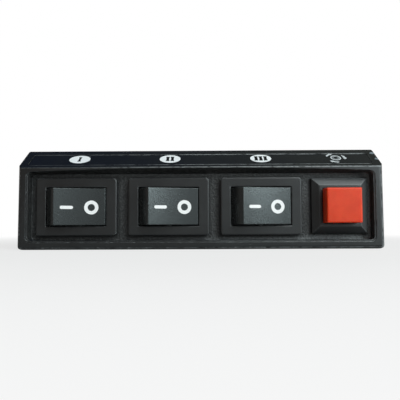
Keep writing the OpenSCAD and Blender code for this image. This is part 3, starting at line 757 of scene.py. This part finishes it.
def natural_nylon():
    """Cream with a faint cloud, and smeared grey along the way in which it slides."""
    finish, shader, place = new_finish("plunger_nylon")
    soft, _ = soft_edges(place, 0.15 * MM)
    cloud = place.noise(1.2 * MM, 3.0)
    grey = place.stretch(1.0, 0.3, 1.0).noise(0.6 * MM, 3.0).rise(0.55, 0.75)
    feed(shader, {
        "Base Color": (grey * 0.35).mix(cloud.mix(nylon_cream, nylon_pale), nylon_smear),
        "Roughness": 0.38 + cloud * 0.12,
        "Subsurface Weight": 0.15,
        "Subsurface Scale": 1.0,
        "Subsurface Radius": nylon_depth,
        "Normal": cloud.bump(0.006 * MM, soft),
    })
    return finish


coat([f"rocker_{n}_plunger" for n in (1, 2, 3)] + ["button_carrier"], natural_nylon())


# Contacts and tabs
# The see-saw blades and the bridge are stamped from rolled copper alloy and carry silver rivets.
# The tabs are tin-plated brass, dull at the sheared edges where the plating is thin.
def rolled_metal(name, colour, dark, grain_size, rough):
    """Rolled strip: streaks along one axis, a patchy tarnish, and a darker sheared edge."""
    finish, shader, place = new_finish(name)
    soft, edge = soft_edges(place, 0.12 * MM)
    streaks = place.stretch(1.0, 1.0, 8.0).noise(grain_size, 3.0)
    tarnish = place.noise(1.8 * MM, 4.0).rise(0.45, 0.75)
    sheared = edge.rise(0.04, 0.2)
    feed(shader, {
        "Base Color": (sheared * 0.35).mix((tarnish * 0.6).mix(colour, dark), dark),
        "Metallic": 1.0,
        "Roughness": rough + streaks * 0.18 + tarnish * 0.12,
        "Normal": streaks.bump(0.006 * MM, soft),
    })
    return finish


copper = rolled_metal(
    "contact_copper", colour=(0.72, 0.42, 0.24), dark=(0.36, 0.19, 0.10),
    grain_size=0.7 * MM, rough=0.24)
tin = rolled_metal(
    "tab_metal", colour=(0.72, 0.71, 0.68), dark=(0.40, 0.38, 0.34),
    grain_size=0.9 * MM, rough=0.28)
coat([f"rocker_{n}_blade" for n in (1, 2, 3)] + ["button_bridge"], copper)
coat([f"rocker_{n}_{end}_tab" for n in (1, 2, 3) for end in ("centre", "end")], tin)
coat(["button_left_tab", "button_right_tab"], tin)


# Push button cap
# A square cap in orange-red ABS that stands well out of its pyramid bezel. Its face is satin with
# a faint orange-peel texture, and its edges are a little lighter, from fingers rubbing them and
# from a painted highlight.
cap_red = (0.64, 0.047, 0.008)
cap_red_light = (0.70, 0.057, 0.012)
cap_wear_highlight = (0.80, 0.20, 0.11)
cap_depth = (2.4 * MM, 0.3 * MM, 0.2 * MM)


def red_cap():
    """Orange-red with a slow cloud, and paler on its edges, from wear and a painted highlight.
    Light goes a little way into the plastic, the red of it furthest, so that the edges glow."""
    finish, shader, place = new_finish("cap_plastic")
    soft, edge = soft_edges(place, 0.3 * MM)
    peel = place.noise(0.4 * MM, 2.0)
    cloud = place.noise(2.5 * MM, 3.0)
    # Wear and painted highlight on the edges.
    wear_and_highlight = edge.rise(0.03, 0.2) * place.noise(0.7 * MM, 3.0).rise(0.35, 0.6)
    colour = cloud.rise(0.3, 0.7).mix(cap_red, cap_red_light)
    feed(shader, {
        "Base Color": (wear_and_highlight * 0.4).mix(colour, cap_wear_highlight),
        "Roughness": 0.32 + cloud * 0.10,
        "Specular IOR Level": 0.3,
        "Subsurface Weight": 0.7,
        "Subsurface Scale": 1.0,
        "Subsurface Radius": cap_depth,
        "Normal": peel.bump(0.014 * MM, soft),
    })
    return finish


coat(["button_cap"], red_cap())


# Light and floor
# The panel stands on a pale floor in front of a white backdrop, in a dim room. A bright soft lamp
# stands in front on the right, a broad one hangs above it, and the wall on that side is light.
# The wall behind the panel is evenly lit, so that its back shows too.
pure_white = (1, 1, 1)


def white_when_seen(place, behind, part):
    """How much of pure white shows in place of the light that falls there: a part of it to the
    camera, and also in reflections and through glass where it belongs to the backdrop."""
    camera_ray = place.node("ShaderNodeLightPath", {}, {}, "Is Camera Ray")
    gloss_ray = place.node("ShaderNodeLightPath", {}, {}, "Is Glossy Ray")
    glass_ray = place.node("ShaderNodeLightPath", {}, {}, "Is Transmission Ray")
    return (camera_ray + (gloss_ray + glass_ray) * behind).maths("MINIMUM", 1.0) * part


floor_radii = [0.0, 50 * MM, 100 * MM, 200 * MM, 400 * MM, 1500 * MM]
floor_spokes = 64
floor_white = (0.56, 0.56, 0.56)
floor_dull = (0.52, 0.52, 0.52)


def floor_paint():
    """Matte off-white paint, which turns to pure white away from the panel, and near it keeps the
    shadow."""
    finish, shader, place = new_finish("floor_paint")
    mottle = place.noise(40 * MM, 2.0)
    feed(shader, {
        "Base Color": mottle.mix(floor_dull, floor_white),
        "Roughness": 0.9,
        "Specular IOR Level": 0.1,
    })
    away = place.node("ShaderNodeVectorMath", {"operation": "LENGTH"}, {0: place}, "Value")
    behind = place.split()[1].rise(50 * MM, 200 * MM)
    share = white_when_seen(place, behind, 0.72 + away.rise(60 * MM, 200 * MM) * 0.28)
    shown = place.node("ShaderNodeEmission", {}, {"Color": pure_white, "Strength": 1.0})
    paint = Wire(place.tree, shader.outputs["BSDF"])
    both = place.node("ShaderNodeMixShader", {}, {0: share, 1: paint, 2: shown})
    fill(place.tree.nodes["Material Output"].inputs["Surface"], both)
    return finish


def round_floor(radii, spokes):
    """A flat disc at the height of the underside: rings of points at the given radii, joined by
    quads, with the innermost ring shrunk to the middle point."""
    radius = np.array(radii)[:, None]
    angle = np.linspace(0, 2 * np.pi, spokes, endpoint=False)[None, :]
    x = radius * np.cos(angle)
    points = np.stack([x, radius * np.sin(angle), housing_low.z + 0 * x], -1)
    row = spokes * np.arange(len(radii) - 1)[:, None]
    at = np.arange(spokes)[None, :]
    beside = (at + 1) % spokes
    quads = np.stack([row + at, row + spokes + at, row + spokes + beside, row + beside], -1)
    mesh = bpy.data.meshes.new("floor")
    mesh.from_pydata(points.reshape(-1, 3), [], quads.reshape(-1, 4))
    return mesh


floor_mesh = round_floor(floor_radii, floor_spokes)
floor_mesh.materials.append(floor_paint())
floor = bpy.data.objects.new("floor", floor_mesh)
bpy.context.scene.collection.objects.link(floor)


def soft_lamp(name, azimuth, elevation, distance, width, height, level, colour):
    """A rectangular lamp that looks at the panel's face from an azimuth to the right of straight
    ahead and an elevation, in degrees. The level is how bright its surface is."""
    lamp = bpy.data.lights.new(name, "AREA")
    lamp.shape = "RECTANGLE"
    lamp.size = width
    lamp.size_y = height
    lamp.energy = level * math.pi * width * height
    lamp.color = colour
    stand = bpy.data.objects.new(name, lamp)
    a = math.radians(azimuth)
    e = math.radians(elevation)
    aim = np.array([0.0, housing_low.y, -10 * MM])
    way = np.array([math.sin(a) * math.cos(e), -math.cos(a) * math.cos(e), math.sin(e)])
    stand.location = aim + way * distance
    stand.rotation_euler = (math.pi / 2 - e, 0, a)
    stand.visible_camera = False
    bpy.context.scene.collection.objects.link(stand)


soft_lamp("window_lamp", azimuth=39, elevation=19, distance=800 * MM, width=220 * MM,
          height=380 * MM, level=9.2, colour=(0.84, 0.97, 1.0))
soft_lamp("top_lamp", azimuth=30, elevation=43, distance=400 * MM, width=220 * MM,
          height=140 * MM, level=8.8, colour=(0.92, 0.99, 1.0))

dim_wall = (0.26, 0.22, 0.20)
window_wall = (1.15, 1.28, 1.32)
back_wall = (1.1, 1.1, 1.1)
dim_ceiling = (0.03, 0.04, 0.06)
window_ceiling = (0.17, 0.18, 0.14)


def dim_room():
    """What each direction shows, from its parts to the right, to the back and up: in front a wall
    that is dim on the left and bright on the right, behind the panel an even one, over them a
    dark ceiling, and white behind the panel where the camera or a reflection looks at it."""
    world = bpy.data.worlds.new("room")
    world.use_nodes = True
    tree = world.node_tree
    way = Wire(tree, tree.nodes.new("ShaderNodeTexCoord").outputs["Generated"])
    right, back, up = way.split()
    window_side = right.rise(-0.4, 0.6) * (1 - back.rise(0.0, 0.5))
    behind = back.rise(0.1, 0.6) * (1 - up.rise(0.3, 0.5))
    wall = behind.mix(window_side.mix(dim_wall, window_wall), back_wall)
    ceiling = right.rise(-0.35, 0.4).mix(dim_ceiling, window_ceiling)
    lit = up.rise(0.3, 0.75).mix(wall, ceiling)
    seen = white_when_seen(way, back.rise(0.90, 0.97), 1.0)
    fill(tree.nodes["Background"].inputs["Color"], seen.mix(lit, pure_white))
    return world


bpy.context.scene.world = dim_room()
